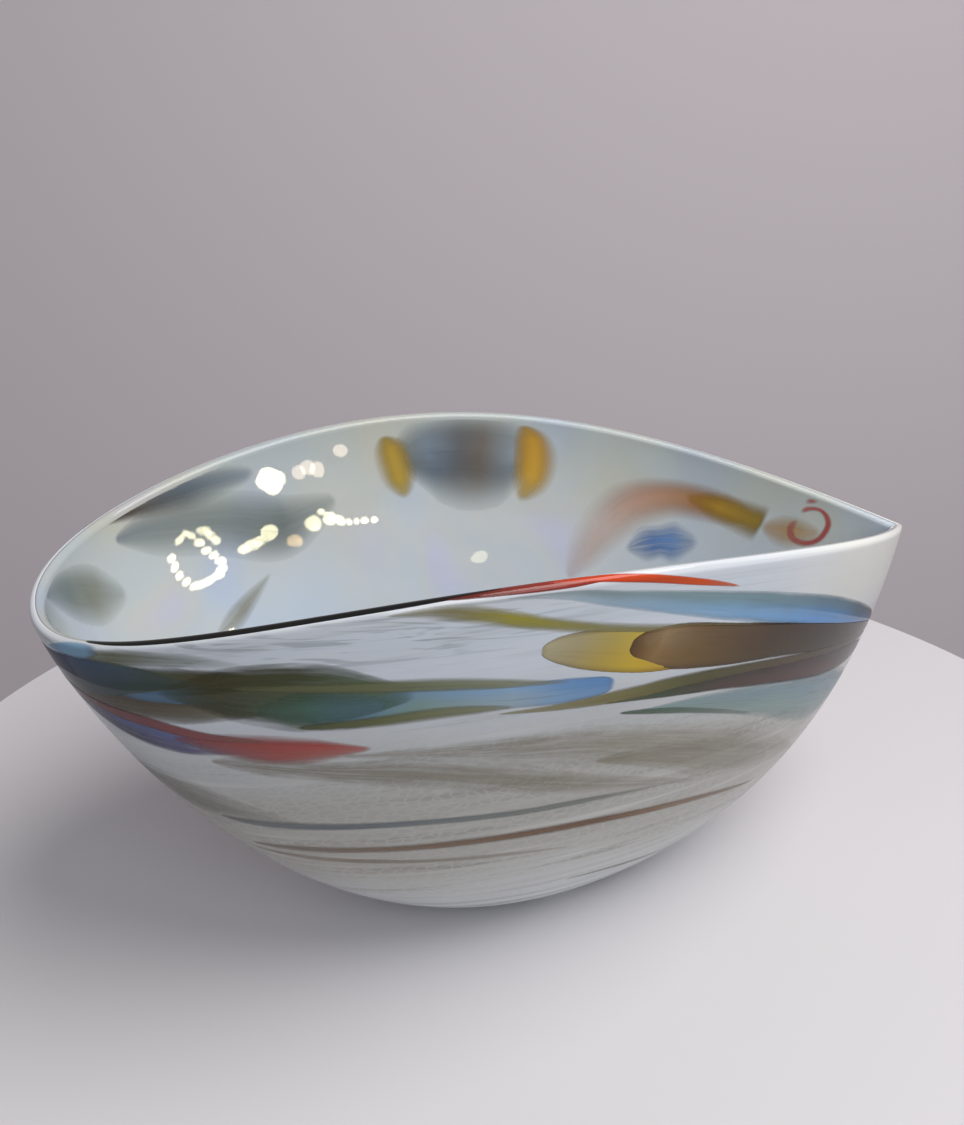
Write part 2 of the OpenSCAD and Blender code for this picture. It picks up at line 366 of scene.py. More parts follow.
# %% [markdown]
# ## The opal wall seen from outside
#
# Opal white isn't one white. Near the lip the glass is thin and takes a cool tint; below the
# middle the gather thins to a grey you can nearly see through, made darker still with painted
# shade; at the foot it gathers again.
# It is also full of pale cells and pulled lines, because bubbles and powder were stretched
# with it. A ramp over `level` gives the first, stretched noise the lines, and the edges of a
# stretched Voronoi pattern the cells.

# %% Finish of the outer wall
# The grey of these whites below the middle is partly the thinner glass and partly painted shade
OUTER_WHITES_AND_SHADE = [(0.00, paint("#d8dddf")), (0.22, paint("#dde3e7")), (0.33, paint("#c8cacb")),
                (0.46, paint("#a8a6a0")), (0.60, paint("#a9a8a3")), (0.70, paint("#bdc1c5")),
                (0.80, paint("#cfd6e0")), (0.92, paint("#d0d7e1")), (1.00, paint("#cdd0d5"))]
# PLAIN_LIT_OPAL is the panel's plain opal, painted lighter as if light falls on the side of the point
PLAIN_LIT_OPAL, VEIN, COMBED = paint("#dcdcd8"), paint("#85847d"), paint("#d9dddd")
CELL_RIM, RIPPLE = paint("#d6dadb"), paint("#7c8488")
LINES_PER_METRE, LINES_PER_LEVEL = 14, 60
CELLS_PER_METRE, CELLS_PER_LEVEL = 330, 95
RIPPLES_PER_METRE, RIPPLES_UP = 45, 620            # round the bowl and up the wall


def outer_opal():
    """The whites by level with painted shade, the plain panel painted lighter, then veins, combing,
    cells and ripples over them.
    """
    finish = polished("opal under clear", CASED)
    level = finish.attribute("level")
    spot = finish.object_place
    x, y, z = finish.axes(spot)
    # Lines pulled round the bowl: long in x and y, short in level
    pulled = finish.vector(x * LINES_PER_METRE, y * LINES_PER_METRE, level * LINES_PER_LEVEL)
    lines = finish.noise(pulled, 1.0, detail=4.0, roughness=0.62, distortion=0.6)
    cells = finish.add("ShaderNodeTexVoronoi", {"feature": "DISTANCE_TO_EDGE"}, {
        "Vector": finish.vector(x * CELLS_PER_METRE + lines * 2, y * CELLS_PER_METRE,
                                level * CELLS_PER_LEVEL + lines * 2), "Scale": 1.0})
    cell = finish.number(cells.outputs["Distance"])
    drift = finish.noise(spot, 16.0, detail=2.0)
    ground, _ = finish.ramp(level + (lines - 0.5) * 0.10 + (drift - 0.5) * 0.12, OUTER_WHITES_AND_SHADE)
    # The panel between the sheaf and the lip, towards the point, is plain opal, painted lighter on
    # this lit side
    bright = x.smooth(0.01, 0.06) * level.smooth(0.66, 0.86)
    ground = finish.mix(bright, ground, PLAIN_LIT_OPAL)
    low = 1 - level.smooth(0.66, 0.78)
    veins = lines.smooth(0.50, 0.72) * (low * 0.35 + 0.2) * (1 - bright)
    veined = finish.mix(veins, ground, VEIN)
    combed = finish.mix((1 - lines).smooth(0.52, 0.75) * 0.4, veined, COMBED)
    rims = (1 - cell.smooth(0.0, 0.16)) * low * lines.smooth(0.3, 0.6) * 0.2
    speckled = finish.mix(rims, combed, CELL_RIM)
    # Fine wavy lines just under the lip on the round side
    waves = finish.vector(x * RIPPLES_PER_METRE, y * RIPPLES_PER_METRE, z * RIPPLES_UP)
    wave = finish.noise(waves, 1.0, detail=2.0, distortion=1.2)
    below_lip = level.smooth(0.80, 0.88) * (1 - level.smooth(0.955, 0.98))
    round_side = 1 - x.smooth(-0.05, -0.01)
    ripples = wave.smooth(0.48, 0.62) * below_lip * round_side * 0.45
    finish.feed(finish.shader.inputs["Base Color"], finish.mix(ripples, speckled, RIPPLE))
    return finish


# %% [markdown]
# ## The opal wall seen from inside
#
# From inside there is no clear casing in front of the colour: the white is smoother, greyer
# and glossier, and takes faint tints of blue, green, straw and lavender. The greys and tints
# are partly pearl in the opal and partly painted reflection and shade of the room. They have
# no edges anywhere, so slow noise through a ramp of the four tints is enough.

# %% Finish of the inner wall
# These greys by level, and the tints below, are partly the opal's own pearl and partly painted
# reflection and shade
INNER_WHITES_SHADE_REFLECTION = [(0.00, paint("#b3bfd0")), (0.50, paint("#b8c4d8")), (0.68, paint("#b9bec8")),
                (0.84, paint("#b4b5b0")), (0.94, paint("#a9aba9")), (1.00, paint("#a6a9aa"))]
PEARL_AND_REFLECTION_TINTS = [(0.30, paint("#9bb0cb")), (0.46, paint("#adb8b3")), (0.58, paint("#b8b7a0")),
               (0.72, paint("#b0aabf"))]
PEARL_AND_REFLECTION_SHARE = 0.36


def inner_opal():
    """The greyer whites by level with painted shade, and a share of pearl and painted reflection tint
    mixed in.
    """
    finish = polished("opal liner", BARE)
    level = finish.attribute("level")
    cloud = finish.noise(finish.object_place, 13.0, detail=2.0, distortion=0.5)
    tint = finish.noise(finish.object_place, 21.0, detail=1.0, distortion=0.8)
    ground, _ = finish.ramp(level + (cloud - 0.5) * 0.25, INNER_WHITES_SHADE_REFLECTION)
    pearl_and_reflection, _ = finish.ramp(tint, PEARL_AND_REFLECTION_TINTS)
    finish.feed(finish.shader.inputs["Base Color"], finish.mix(PEARL_AND_REFLECTION_SHARE, ground, pearl_and_reflection))
    return finish


# %% [markdown]
# ## Casing and liner
#
# Both gathers are thin closed shells that meet along the crown of the lip. They could be one
# solid with two materials, but they are two layers of glass on the real bowl, and as two
# pieces each has its own node. Columns stand closer together at the point, where the fold
# turns sharply, and the hidden faces between the layers have fewer rows.

# %% The two gathers
COLUMNS, WALL_ROWS, CROWN_ROWS, HIDDEN_ROWS = 480, 140, 8, 30
CROWDING = 0.85                                    # how much closer the columns stand at the point
turns = np.arange(COLUMNS) / COLUMNS
around = 360 * (turns - CROWDING / math.tau * np.sin(math.tau * turns))
CASING_BACK, LINER_BACK = 0.46, 0.54               # the hidden faces stop short of each other
FACE_START, BACK_TOP, BACK_FOOT = 0.02, 0.985, 0.05


def shell(face_depth, hidden_depth):
    """A gather as a tube: up its visible face, over its half of the crown, down the back."""
    face = np.linspace(FACE_START, 1, WALL_ROWS) * top_level(face_depth)
    crown = face_depth + (0.5 - face_depth) * (1 - np.cos(np.linspace(0, math.pi / 2, CROWN_ROWS)))
    hidden = np.linspace(BACK_TOP, BACK_FOOT, HIDDEN_ROWS)
    levels = np.concatenate([face, top_level(crown[1:]), hidden])
    depths = np.concatenate([np.full(WALL_ROWS, face_depth), crown[1:],
                             np.full(HIDDEN_ROWS, hidden_depth)])
    rings = skin(around, levels[:, None], depths[:, None])
    level = np.repeat(levels[:, None], COLUMNS, axis=1)
    inside = np.full(level.shape, float(face_depth > 0.5))
    return tube(rings, skin(0, 0, face_depth), skin(0, 0, hidden_depth), level, inside)


casing = piece_of("clear_casing_wall", [shell(0.0, CASING_BACK)])
place(casing, "clear_casing", outer_opal())
liner = piece_of("opal_liner_wall", [shell(1.0, LINER_BACK)])
place(liner, "opal_liner", inner_opal())
print("casing:", len(casing.data.polygons), "faces; liner:", len(liner.data.polygons))

# %% [markdown]
# ## A cane pulled out in the wall
#
# Each streak was a rod or a shard of coloured glass, pressed into the gather and stretched.
# It could be painted on the wall in one big pattern, but every cane is a piece of its own,
# so each gets its own lens of glass. It follows given points of angle, level and
# half-width, stands less than a tenth of a millimetre proud, and sinks in at its edges.
# A second, softer lens shows it on the inside, where the opal has it behind a thin veil.

# %% The form of a cane
STATIONS, ACROSS = 120, 13
PROUD, LAYER, SUNK, BURIED = 0.008, 0.004, 0.02, 0.05  # in shares of the wall's thickness
MM_PER_DEGREE, MM_PER_LEVEL = 1.7, 150.0
LOWEST, LIP_END, LINER_END = 0.05, 1.048, EDGE_LEVEL - 0.003   # levels where a lens may lie
THINNEST = 0.05                                    # half-width in millimetres
EDGE_POWER = 6                                     # how flat a lens is before its edge


def through(path, u):
    """A smooth curve through every row of path, for u from 0 to 1: each stretch is the cubic
    that meets its neighbours with the slope of the line between the points either side."""
    path = np.asarray(path, float)
    spans = len(path) - 1
    i = np.minimum((u * spans).astype(int), spans - 1)
    f = (u * spans - i)[:, None]
    a, b = path[np.maximum(i - 1, 0)], path[i]
    c, d = path[i + 1], path[np.minimum(i + 2, spans)]
    return (2 * b + (c - a) * f + (2 * a - 5 * b + 4 * c - d) * f ** 2
            + (3 * b - a - 3 * c + d) * f ** 3) / 2


def rounded(s):
    """A quarter circle, from 0 at the very end to 1 where the end is over."""
    return np.sqrt(1 - (1 - np.clip(s, 0, 1)) ** 2)


def lens(path, ends, layer, swell, on_inside):
    """One lens of a cane as a tube of flat rings, each across the curve at one station.

    The half-width grows from nothing over the share of the length that ends gives for each
    end, and swell widens the whole lens by as much as its feathered edge takes off. The upper
    face follows one minus the sixth power of the way across."""
    u = np.linspace(0, 1, STATIONS + 2)
    centre = through(path, u)
    slope = np.gradient(centre[:, :2], u, axis=0) * [MM_PER_DEGREE, MM_PER_LEVEL]
    slope /= np.linalg.norm(slope, axis=1, keepdims=True)
    half = centre[:, 2].clip(THINNEST) * rounded(u / ends[0]) * rounded((1 - u) / ends[1]) * swell
    upper = np.linspace(-1, 1, ACROSS)
    w = np.concatenate([upper, upper[-2:0:-1]])
    top = np.arange(len(w)) < ACROSS
    proud = PROUD + LAYER * layer
    depth = np.where(top, SUNK - (SUNK + proud) * (1 - w ** EDGE_POWER), BURIED)
    angle = centre[:, :1] - slope[:, 1:] * w * half[:, None] / MM_PER_DEGREE
    level = centre[:, 1:2] + slope[:, :1] * w * half[:, None] / MM_PER_LEVEL
    if on_inside:
        level = np.clip(level, LOWEST, LINER_END)
        points = skin(angle, level, 1 - depth)
        poles = skin(centre[:, 0], np.clip(centre[:, 1], LOWEST, LINER_END), 1 - SUNK)
    else:
        level = np.clip(level, LOWEST, LIP_END)
        points = over_the_lip(angle, level, depth)
        poles = over_the_lip(centre[:, 0], np.clip(centre[:, 1], LOWEST, LIP_END), SUNK)
    body = slice(1, -1)
    along = np.repeat(u[body, None], len(w), axis=1)
    across = np.broadcast_to((w + 1) / 2, along.shape)
    inside = np.full(along.shape, float(on_inside))
    return tube(points[body], poles[0], poles[-1], level[body], inside, along, across)


def length_of(path):
    """Length of the curve through path along the wall, in millimetres."""
    centre = through(path, np.linspace(0, 1, 200))
    steps = np.diff(skin(centre[:, 0], centre[:, 1], 0), axis=0)
    return np.linalg.norm(steps, axis=1).sum() / MM


# %% [markdown]
# ## The colour of a cane
#
# A cane changes colour along its length, where two glasses were pulled together, and often
# its upper and lower edges differ. So its finish has two ramps along the pull, one for each
# edge, blended across. Long thin noise makes the fibres, an uneven feather ends the colour
# at the edges, and a darker rim shows where the glass is seen edge on.

# %% The finish of a cane
SHADE, SHADE_SHARE, VEIL = paint("#2a241d"), 0.55, paint("#c3c6c8")
LOOSE = 0.4                                        # a fibre above this lets gaps show
FEATHER_SWELL, INSIDE_SWELL = 0.4, 1.5


def cane_finish(name, path, upper, lower, feather, fibre, rim, show_inside):
    """upper and lower are (position, colour, opacity) stops along the cane."""
    # Canes that show fully inside are mostly seen there, so they take the bare gloss
    finish = polished(name.replace("_", " "), BARE if show_inside == 1.0 else CASED)
    length = length_of(path)
    width = 2 * max(row[2] for row in path)
    along, across, _ = finish.axes(finish.add("ShaderNodeUVMap", {"uv_map": "cane"}, {}).outputs[0])
    inner = finish.attribute("inside")

    def streaks(long_mm, short_mm, shift, detail):
        """Noise with a grain of this length and width, moved aside by shift."""
        vector = finish.vector(along * (length / long_mm), across * (width / short_mm), shift)
        return finish.noise(vector, 1.0, detail=detail, distortion=0.3)

    fibres = streaks(24.0, 0.8, 3.7 + length % 5, 3.0)
    ragged = streaks(9.0, 1.6, 1.3 + width, 2.0)
    bend = streaks(14.0, 6.0, 7.9, 1.0)
    to_edge = 1 - (across * 2 - 1).size()
    shifted = across + (bend - 0.5) * 0.35
    stops = [[(p, paint(c, o)) for p, c, o in side] for side in (upper, lower)]
    along_bent = along + (bend - 0.5) * 0.06
    high, high_opacity = finish.ramp(along_bent, stops[0])
    low, low_opacity = finish.ramp(along_bent, stops[1])
    side = shifted.smooth(0.25, 0.75)
    colour = finish.mix(side, low, high)
    dark = finish.mix(SHADE_SHARE, colour, SHADE)
    colour = finish.mix((1 - to_edge.smooth(0.05, 0.4)) * rim, colour, dark)
    colour = finish.mix(fibres.smooth(0.55, 0.8) * fibre, colour, dark)
    # Inside, the opal lies over the colour like a veil
    colour = finish.mix(inner * (0.35 - 0.3 * show_inside), colour, VEIL)
    frayed = to_edge + (ragged - 0.5) * 0.5 * fibre
    crisp = frayed.smooth(0.0, feather)
    soft = to_edge.smooth(0.0, 1.0)
    mask = crisp + (soft - crisp) * inner
    opacity = low_opacity + (high_opacity - low_opacity) * side
    tips = along.least(1 - along) * (length / 3.0)
    sheer = max(0.0, fibre - LOOSE)
    thin = 1 - (1 - fibres.smooth(0.25, 0.6)) * sheer
    shown = 1 - inner * (1 - show_inside)
    alpha = mask * opacity * tips.smooth(0.0, 1.0) * thin * shown
    finish.feed(finish.shader.inputs["Base Color"], colour)
    finish.feed(finish.shader.inputs["Alpha"], alpha)
    return finish


def lay_cane(name, path, upper, lower=None, ends=(0.3, 0.3), layer=0, feather=0.35,
             fibre=0.5, rim=0.3, show_inside=0.3):
    """Makes one cane and its finish, and prints how long it is."""
    finish = cane_finish(name, path, upper, lower or upper, feather, fibre, rim, show_inside)
    sides = [False, True] if show_inside > 0 else [False]
    swells = (1 + FEATHER_SWELL * feather, INSIDE_SWELL)
    tubes = [lens(path, ends, layer, swells[side], side) for side in sides]
    place(piece_of(name + "_glass", tubes), name, finish)
    print(f"{name}: {length_of(path):.0f} mm long")


# %% [markdown]
# ## Trails on the lip
#
# A black trail was wound on along the crest of the lip. It starts olive at the round side,
# runs thin and dead crisp, and goes maroon, then vermilion, as it comes over on to the wall.
# Here the level runs on past 1, over the crown and down its inner half.

# %% Lip trails and the first wisps
lay_cane(
    "lip_trail_black",
    [(202, 1.006, 2.0), (210, 1.006, 4.4), (222, 1.005, 5.0), (233, 1.004, 4.6), (243, 1.003, 4.0),
     (251, 1.002, 2.4)],
    [(0, "#3c4033", 0.9), (0.1, "#1b1d1a", 1), (0.8, "#171717", 1), (1, "#2a1a18", 1)],
    ends=(0.06, 0.2), layer=3, feather=0.2, fibre=0, rim=0, show_inside=0)
lay_cane(
    "lip_trail_maroon",
    [(243, 1.004, 1.8), (247, 0.998, 3.4), (252, 0.992, 4.2), (257, 0.984, 3.6), (262, 0.982, 2.0)],
    [(0, "#3a1d1b", 0.9), (0.4, "#6b2b25", 1), (0.8, "#8f3428", 1), (1, "#9a3a28", 0.8)],
    ends=(0.25, 0.25), layer=2, feather=0.3, fibre=0.3, rim=0.4, show_inside=0)
lay_cane(
    "lip_wedge_vermilion",
    [(255, 0.998, 1.6), (260, 0.984, 2.3), (265, 0.957, 2.2), (270, 0.926, 1.5), (276, 0.894, 0.5)],
    [(0, "#a8402c", 0.9), (0.3, "#bd3c1a", 1), (0.8, "#c8552f", 1), (1, "#c8705a", 0.6)],
    ends=(0.2, 0.2), layer=3, feather=0.4, fibre=0.2, rim=0.15, show_inside=0)
lay_cane(
    "lip_wisp_olive",
    [(202, 0.940, 3.6), (209, 0.930, 4.4), (217, 0.912, 3.2), (226, 0.872, 1.2)],
    [(0, "#6f7358", 0.5), (0.3, "#6c7152", 0.75), (0.7, "#7f8677", 0.45), (1, "#949a92", 0)],
    ends=(0.3, 0.4), layer=1, feather=0.8, fibre=0.6, rim=0.1, show_inside=0)
lay_cane(
    "tip_wisp_sky",
    [(192, 0.925, 1.0), (197, 0.942, 3.4), (201, 0.952, 5.2), (206, 0.958, 4.0)],
    [(0, "#8fb0cc", 0.4), (0.4, "#7ea6c6", 0.9), (0.8, "#7fa3bd", 0.9), (1, "#6c8296", 0.3)],
    ends=(0.4, 0.3), layer=2, feather=0.6, fibre=0.4, rim=0.1, show_inside=0)

# %% [markdown]
# ## The dark band from the round tip
#
# Navy, slate and umber leave the round tip together. They open into a mottled olive block,
# and a sky-blue rod comes out of that and ends in a blunt point. Each starts under its
# neighbour, which is what the layer number is for.

# %% The band
lay_cane(
    "band_navy",
    [(179, 0.858, 4.4), (186, 0.860, 6.4), (194, 0.866, 8.0), (202, 0.872, 8.6), (210, 0.866, 6.0),
     (218, 0.850, 2.4)],
    [(0, "#3f4a60", 0.9), (0.3, "#2a3650", 1), (0.6, "#3a4b63", 1), (0.8, "#4c5d63", 0.8),
     (1, "#5d6657", 0.2)],
    [(0, "#2e2f38", 0.9), (0.3, "#20262f", 1), (0.6, "#2f3d44", 1), (0.8, "#3f4d4a", 0.9),
     (1, "#4e5846", 0.2)],
    ends=(0.25, 0.3), layer=2, fibre=0.4)
lay_cane(
    "band_slate",
    [(202, 0.862, 5.0), (209, 0.856, 6.4), (216, 0.846, 6.6), (223, 0.830, 5.4), (230, 0.812, 2.8)],
    [(0, "#4b4a36", 0.8), (0.3, "#4d5948", 0.95), (0.6, "#504c31", 0.95), (1, "#5b5a40", 0.4)],
    [(0, "#3c4a54", 0.8), (0.3, "#4e6e8c", 0.98), (0.6, "#4e6d7e", 0.95), (1, "#4c5a48", 0.4)],
    ends=(0.25, 0.3), layer=1, feather=0.5, fibre=0.4)
lay_cane(
    "band_umber",
    [(183, 0.806, 2.4), (190, 0.814, 4.4), (198, 0.822, 5.6), (206, 0.822, 6.4), (214, 0.808, 5.8),
     (222, 0.792, 3.4), (229, 0.778, 1.6)],
    [(0, "#3b342e", 0.8), (0.3, "#33291f", 1), (0.6, "#3c3222", 1), (0.85, "#4c4530", 0.9),
     (1, "#5d5a45", 0.3)],
    [(0, "#4a4440", 0.8), (0.3, "#453a30", 0.95), (0.6, "#5b523c", 0.85), (0.85, "#6b6750", 0.7),
     (1, "#6f6b5a", 0.2)],
    ends=(0.3, 0.4), feather=0.6)
lay_cane(
    "band_moss",
    [(212, 0.836, 3.2), (218, 0.832, 6.4), (224, 0.820, 8.6), (230, 0.804, 9.2), (236, 0.788, 7.0),
     (242, 0.778, 3.6)],
    [(0, "#5a583c", 0), (0.15, "#524f31", 0.5), (0.3, "#46442a", 1), (0.6, "#474b31", 1),
     (0.85, "#5a6b50", 0.9), (1, "#5f7f7c", 0)],
    [(0, "#4a4f38", 0), (0.15, "#474a33", 0.6), (0.3, "#3c3f2a", 1), (0.6, "#4b5f47", 1),
     (0.85, "#4d6a5c", 0.9), (1, "#5d7a70", 0)],
    ends=(0.4, 0.35), layer=3, feather=0.55, fibre=0.65)
lay_cane(
    "band_teal",
    [(224, 0.784, 2.4), (229, 0.782, 4.6), (234, 0.775, 5.2), (239, 0.768, 3.0)],
    [(0, "#4c6150", 0.5), (0.4, "#456350", 0.85), (1, "#5d8490", 0.2)],
    [(0, "#4c6a5a", 0.5), (0.4, "#4a6e64", 0.85), (1, "#6d93b4", 0.2)],
    ends=(0.35, 0.4), layer=4, feather=1.0, fibre=0.4, rim=0)
lay_cane(
    "band_sky",
    [(228, 0.782, 4.4), (234, 0.776, 5.8), (240, 0.772, 4.8), (246, 0.762, 3.6), (252, 0.750, 3.2),
     (258, 0.744, 3.1), (263, 0.742, 2.0)],
    [(0, "#5d8094", 0.5), (0.2, "#6690bc", 0.95), (0.4, "#7a9bb6", 0.9), (0.65, "#90b2d2", 0.85),
     (0.8, "#6c97c8", 0.95), (1, "#5c88bd", 0.95)],
    [(0, "#587a78", 0.5), (0.2, "#6287a0", 0.95), (0.4, "#809c94", 0.85), (0.65, "#a2b8c6", 0.75),
     (0.8, "#7ea3c9", 0.9), (1, "#6890c0", 0.9)],
    ends=(0.2, 0.08), layer=2, feather=0.4, fibre=0.4)
lay_cane(
    "thread_olive_upper",
    [(222, 0.836, 0.9), (230, 0.818, 1.5), (237, 0.803, 1.7), (244, 0.789, 1.7), (251, 0.773, 1.3),
     (258, 0.758, 0.5)],
    [(0, "#57593c", 0.8), (0.4, "#6a6f4c", 0.9), (0.8, "#8a8f74", 0.8), (1, "#9a9f90", 0.3)],
    ends=(0.2, 0.3), layer=4, feather=0.8, fibre=0.4, rim=0.1)
lay_cane(
    "thread_olive_lower",
    [(228, 0.748, 0.8), (236, 0.743, 1.4), (244, 0.741, 1.5), (252, 0.732, 0.8)],
    [(0, "#4d5334", 0.8), (0.4, "#63673f", 0.9), (0.8, "#85886a", 0.8), (1, "#9a9c8c", 0.3)],
    ends=(0.2, 0.3), layer=4, feather=0.8, fibre=0.4, rim=0.1)
lay_cane(
    "thread_plum",
    [(186, 0.822, 0.8), (192, 0.808, 1.5), (199, 0.792, 1.8), (207, 0.774, 1.9), (215, 0.747, 1.5),
     (224, 0.728, 1.0)],
    [(0, "#4c3a3a", 0.9), (0.4, "#5c3236", 1), (0.8, "#85484a", 0.95), (1, "#a07068", 0.3)],
    ends=(0.2, 0.3), layer=4, feather=0.6, fibre=0.3, rim=0.2)
lay_cane(
    "lens_violet",
    [(190, 0.788, 1.6), (196, 0.772, 3.0), (202, 0.756, 4.0), (208, 0.742, 4.2), (215, 0.728, 3.2),
     (223, 0.714, 1.6)],
    [(0, "#4d4650", 0.7), (0.4, "#4f5a88", 0.95), (0.7, "#5c6a9c", 0.9), (1, "#8d7b98", 0.2)],
    [(0, "#4f4c52", 0.7), (0.4, "#444258", 0.9), (0.7, "#5d5a80", 0.85), (1, "#8b7890", 0.2)],
    ends=(0.35, 0.35), layer=1, feather=0.5, fibre=0.7)
lay_cane(
    "lens_brick",
    [(210, 0.742, 1.0), (216, 0.730, 2.8), (222, 0.717, 3.6), (229, 0.706, 3.0), (236, 0.698, 0.8)],
    [(0, "#8f6266", 0.4), (0.3, "#94403c", 0.95), (0.8, "#a84a44", 0.95), (1, "#b97068", 0.6)],
    [(0, "#7a5a64", 0.4), (0.3, "#8f5d62", 0.8), (0.6, "#a05550", 0.95), (1, "#b5776c", 0.6)],
    ends=(0.35, 0.3), layer=3, feather=0.75, fibre=0.4)

# %% [markdown]
# ## Veils and threads round the belly
#
# Below the band the colour is thin: tan veils like combed hair, two long threads, and a few
# lines so faint that they only show against the grey. Their opacity stays low, and the fibre
# noise does most of the drawing.

# %% Veils and threads
lay_cane(
    "veil_tan_left",
    [(214, 0.697, 1.4), (220, 0.688, 2.4), (229, 0.667, 2.6), (240, 0.645, 3.6), (250, 0.615, 3.6),
     (260, 0.580, 3.0), (282, 0.520, 1.2)],
    [(0, "#9a9284", 0.5), (0.4, "#8e8775", 0.55), (0.8, "#9c9584", 0.5), (1, "#a59e94", 0.2)],
    ends=(0.2, 0.3), feather=0.9, fibre=1.0, rim=0, show_inside=0.15)
lay_cane(
    "veil_tan_right",
    [(232, 0.690, 0.8), (241, 0.677, 1.5), (250, 0.660, 3.4), (260, 0.643, 4.6), (270, 0.618, 5.0),
     (287, 0.560, 7.4), (318, 0.470, 3.4)],
    [(0, "#a09a8d", 0.5), (0.4, "#a09783", 0.55), (0.7, "#a69e89", 0.5), (1, "#a49e93", 0.2)],
    [(0, "#adaaa2", 0.3), (0.4, "#a8a294", 0.35), (0.7, "#aaa493", 0.35), (1, "#aba69c", 0.1)],
    ends=(0.15, 0.3), layer=1, feather=0.9, fibre=1.0, rim=0, show_inside=0.15)
lay_cane(
    "lens_tan",
    [(262, 0.614, 0.8), (268, 0.605, 2.2), (275, 0.590, 3.8), (284, 0.560, 5.4), (300, 0.505, 4.0)],
    [(0, "#9a937f", 0.6), (0.5, "#a59d8a", 0.5), (1, "#aba598", 0.1)],
    ends=(0.2, 0.4), layer=2, feather=0.8, fibre=0.9, rim=0, show_inside=0.1)
lay_cane(
    "veil_grey_low",
    [(188, 0.650, 2.0), (194, 0.636, 4.4), (203, 0.614, 6.4), (212, 0.595, 4.4), (222, 0.568, 1.2)],
    [(0, "#8b877e", 0.5), (0.5, "#8d8a82", 0.7), (1, "#9a968e", 0.1)],
    ends=(0.3, 0.4), feather=0.9, fibre=0.9, rim=0, show_inside=0.1)
lay_cane(
    "thread_slate",
    [(206, 0.575, 0.8), (213, 0.569, 1.3), (225, 0.562, 1.1), (238, 0.555, 0.9), (252, 0.545, 0.9),
     (263, 0.542, 0.9), (274, 0.536, 0.8)],
    [(0, "#7c8083", 0.6), (0.4, "#6f777e", 0.95), (0.8, "#7a8078", 0.9), (1, "#979488", 0.2)],
    ends=(0.2, 0.3), layer=2, feather=1.0, fibre=0.4, rim=0, show_inside=0.15)
lay_cane(
    "thread_brown",
    [(206, 0.511, 0.8), (218, 0.510, 1.2), (228, 0.507, 1.1), (238, 0.503, 1.1), (249, 0.499, 1.2),
     (263, 0.493, 1.2), (272, 0.486, 1.1), (284, 0.475, 1.1), (303, 0.450, 1.0)],
    [(0, "#8d8276", 0.6), (0.35, "#7d6857", 0.95), (0.65, "#6b4a2e", 1), (0.8, "#7d614a", 1),
     (1, "#93826f", 0.5)],
    ends=(0.1, 0.2), layer=3, feather=1.0, fibre=0.3, rim=0, show_inside=0.15)
lay_cane(
    "thread_tan_low",
    [(204, 0.495, 0.6), (214, 0.488, 1.0), (226, 0.479, 0.9), (237, 0.468, 0.7), (249, 0.457, 0.8),
     (261, 0.443, 0.5)],
    [(0, "#9c9285", 0.4), (0.4, "#96887a", 0.7), (1, "#9f9587", 0.2)],
    ends=(0.2, 0.3), layer=2, feather=0.8, rim=0, show_inside=0.1)
lay_cane(
    "thread_faint_low",
    [(262, 0.330, 0.6), (272, 0.325, 1.0), (286, 0.311, 1.0), (304, 0.300, 0.6)],
    [(0, "#9c9a94", 0.4), (0.5, "#8f8d87", 0.6), (1, "#9c9a94", 0.2)],
    layer=1, feather=0.9, rim=0, show_inside=0.1)

# %% [markdown]
# ## The sheaf that runs into the point
#
# On the right the canes were pinched together when the mouth was drawn out, so they all lie
# towards one place under the point and darken where they crowd. The amber tongue has a round
# end with a dark outline, as a rod has where it was cut; so does the brown one over it.

# %% The sheaf
lay_cane(
    "ribbon_blue",
    [(251, 0.956, 0.8), (257, 0.938, 2.2), (263, 0.904, 3.2), (272, 0.866, 4.2), (282, 0.832, 4.6),
     (293, 0.797, 4.6), (308, 0.750, 4.0), (324, 0.714, 2.8)],
    [(0, "#9aa4aa", 0.3), (0.18, "#8d9ea2", 0.7), (0.45, "#85a0a8", 0.85), (0.75, "#6c8496", 0.95),
     (0.9, "#3c4854", 1), (1, "#1f2226", 1)],
    [(0, "#b3bcc2", 0.2), (0.18, "#a9c0cc", 0.55), (0.45, "#8ab2d4", 0.9), (0.7, "#5c90c8", 1),
     (0.9, "#45709f", 1), (1, "#22262c", 1)],
    ends=(0.2, 0.2), layer=2, feather=0.5, fibre=0.4)
lay_cane(
    "thread_straw",
    [(240, 0.958, 1.6), (245, 0.945, 3.4), (250, 0.908, 2.8), (256, 0.868, 1.9), (264, 0.836, 1.5),
     (274, 0.814, 1.2), (286, 0.786, 0.9)],
    [(0, "#8d8866", 0.3), (0.2, "#8a8258", 0.75), (0.4, "#a39a3c", 0.95), (0.6, "#8f8a5c", 0.85),
     (1, "#8a8878", 0.4)],
    layer=1, feather=0.9, fibre=0.6, rim=0.1)
lay_cane(
    "tongue_amber",
    [(254.5, 0.820, 2.2), (257, 0.818, 4.4), (260.5, 0.809, 6.0), (266, 0.792, 6.2), (272, 0.779, 5.6),
     (280, 0.765, 4.4)],
    [(0, "#a3905c", 0.9), (0.08, "#c0b68e", 0.75), (0.28, "#b3a67c", 0.8), (0.44, "#b8a458", 0.9),
     (0.58, "#cbb035", 0.98), (0.75, "#b1943f", 0.98), (1, "#8c7442", 0.8)],
    [(0, "#96824f", 0.9), (0.08, "#b8ac84", 0.75), (0.28, "#b09f6e", 0.85), (0.44, "#b89f48", 0.92),
     (0.58, "#c9a92c", 0.98), (0.75, "#c19a34", 0.98), (1, "#94763e", 0.8)],
    ends=(0.16, 0.4), layer=2, feather=0.2, fibre=0.35, rim=1.0)
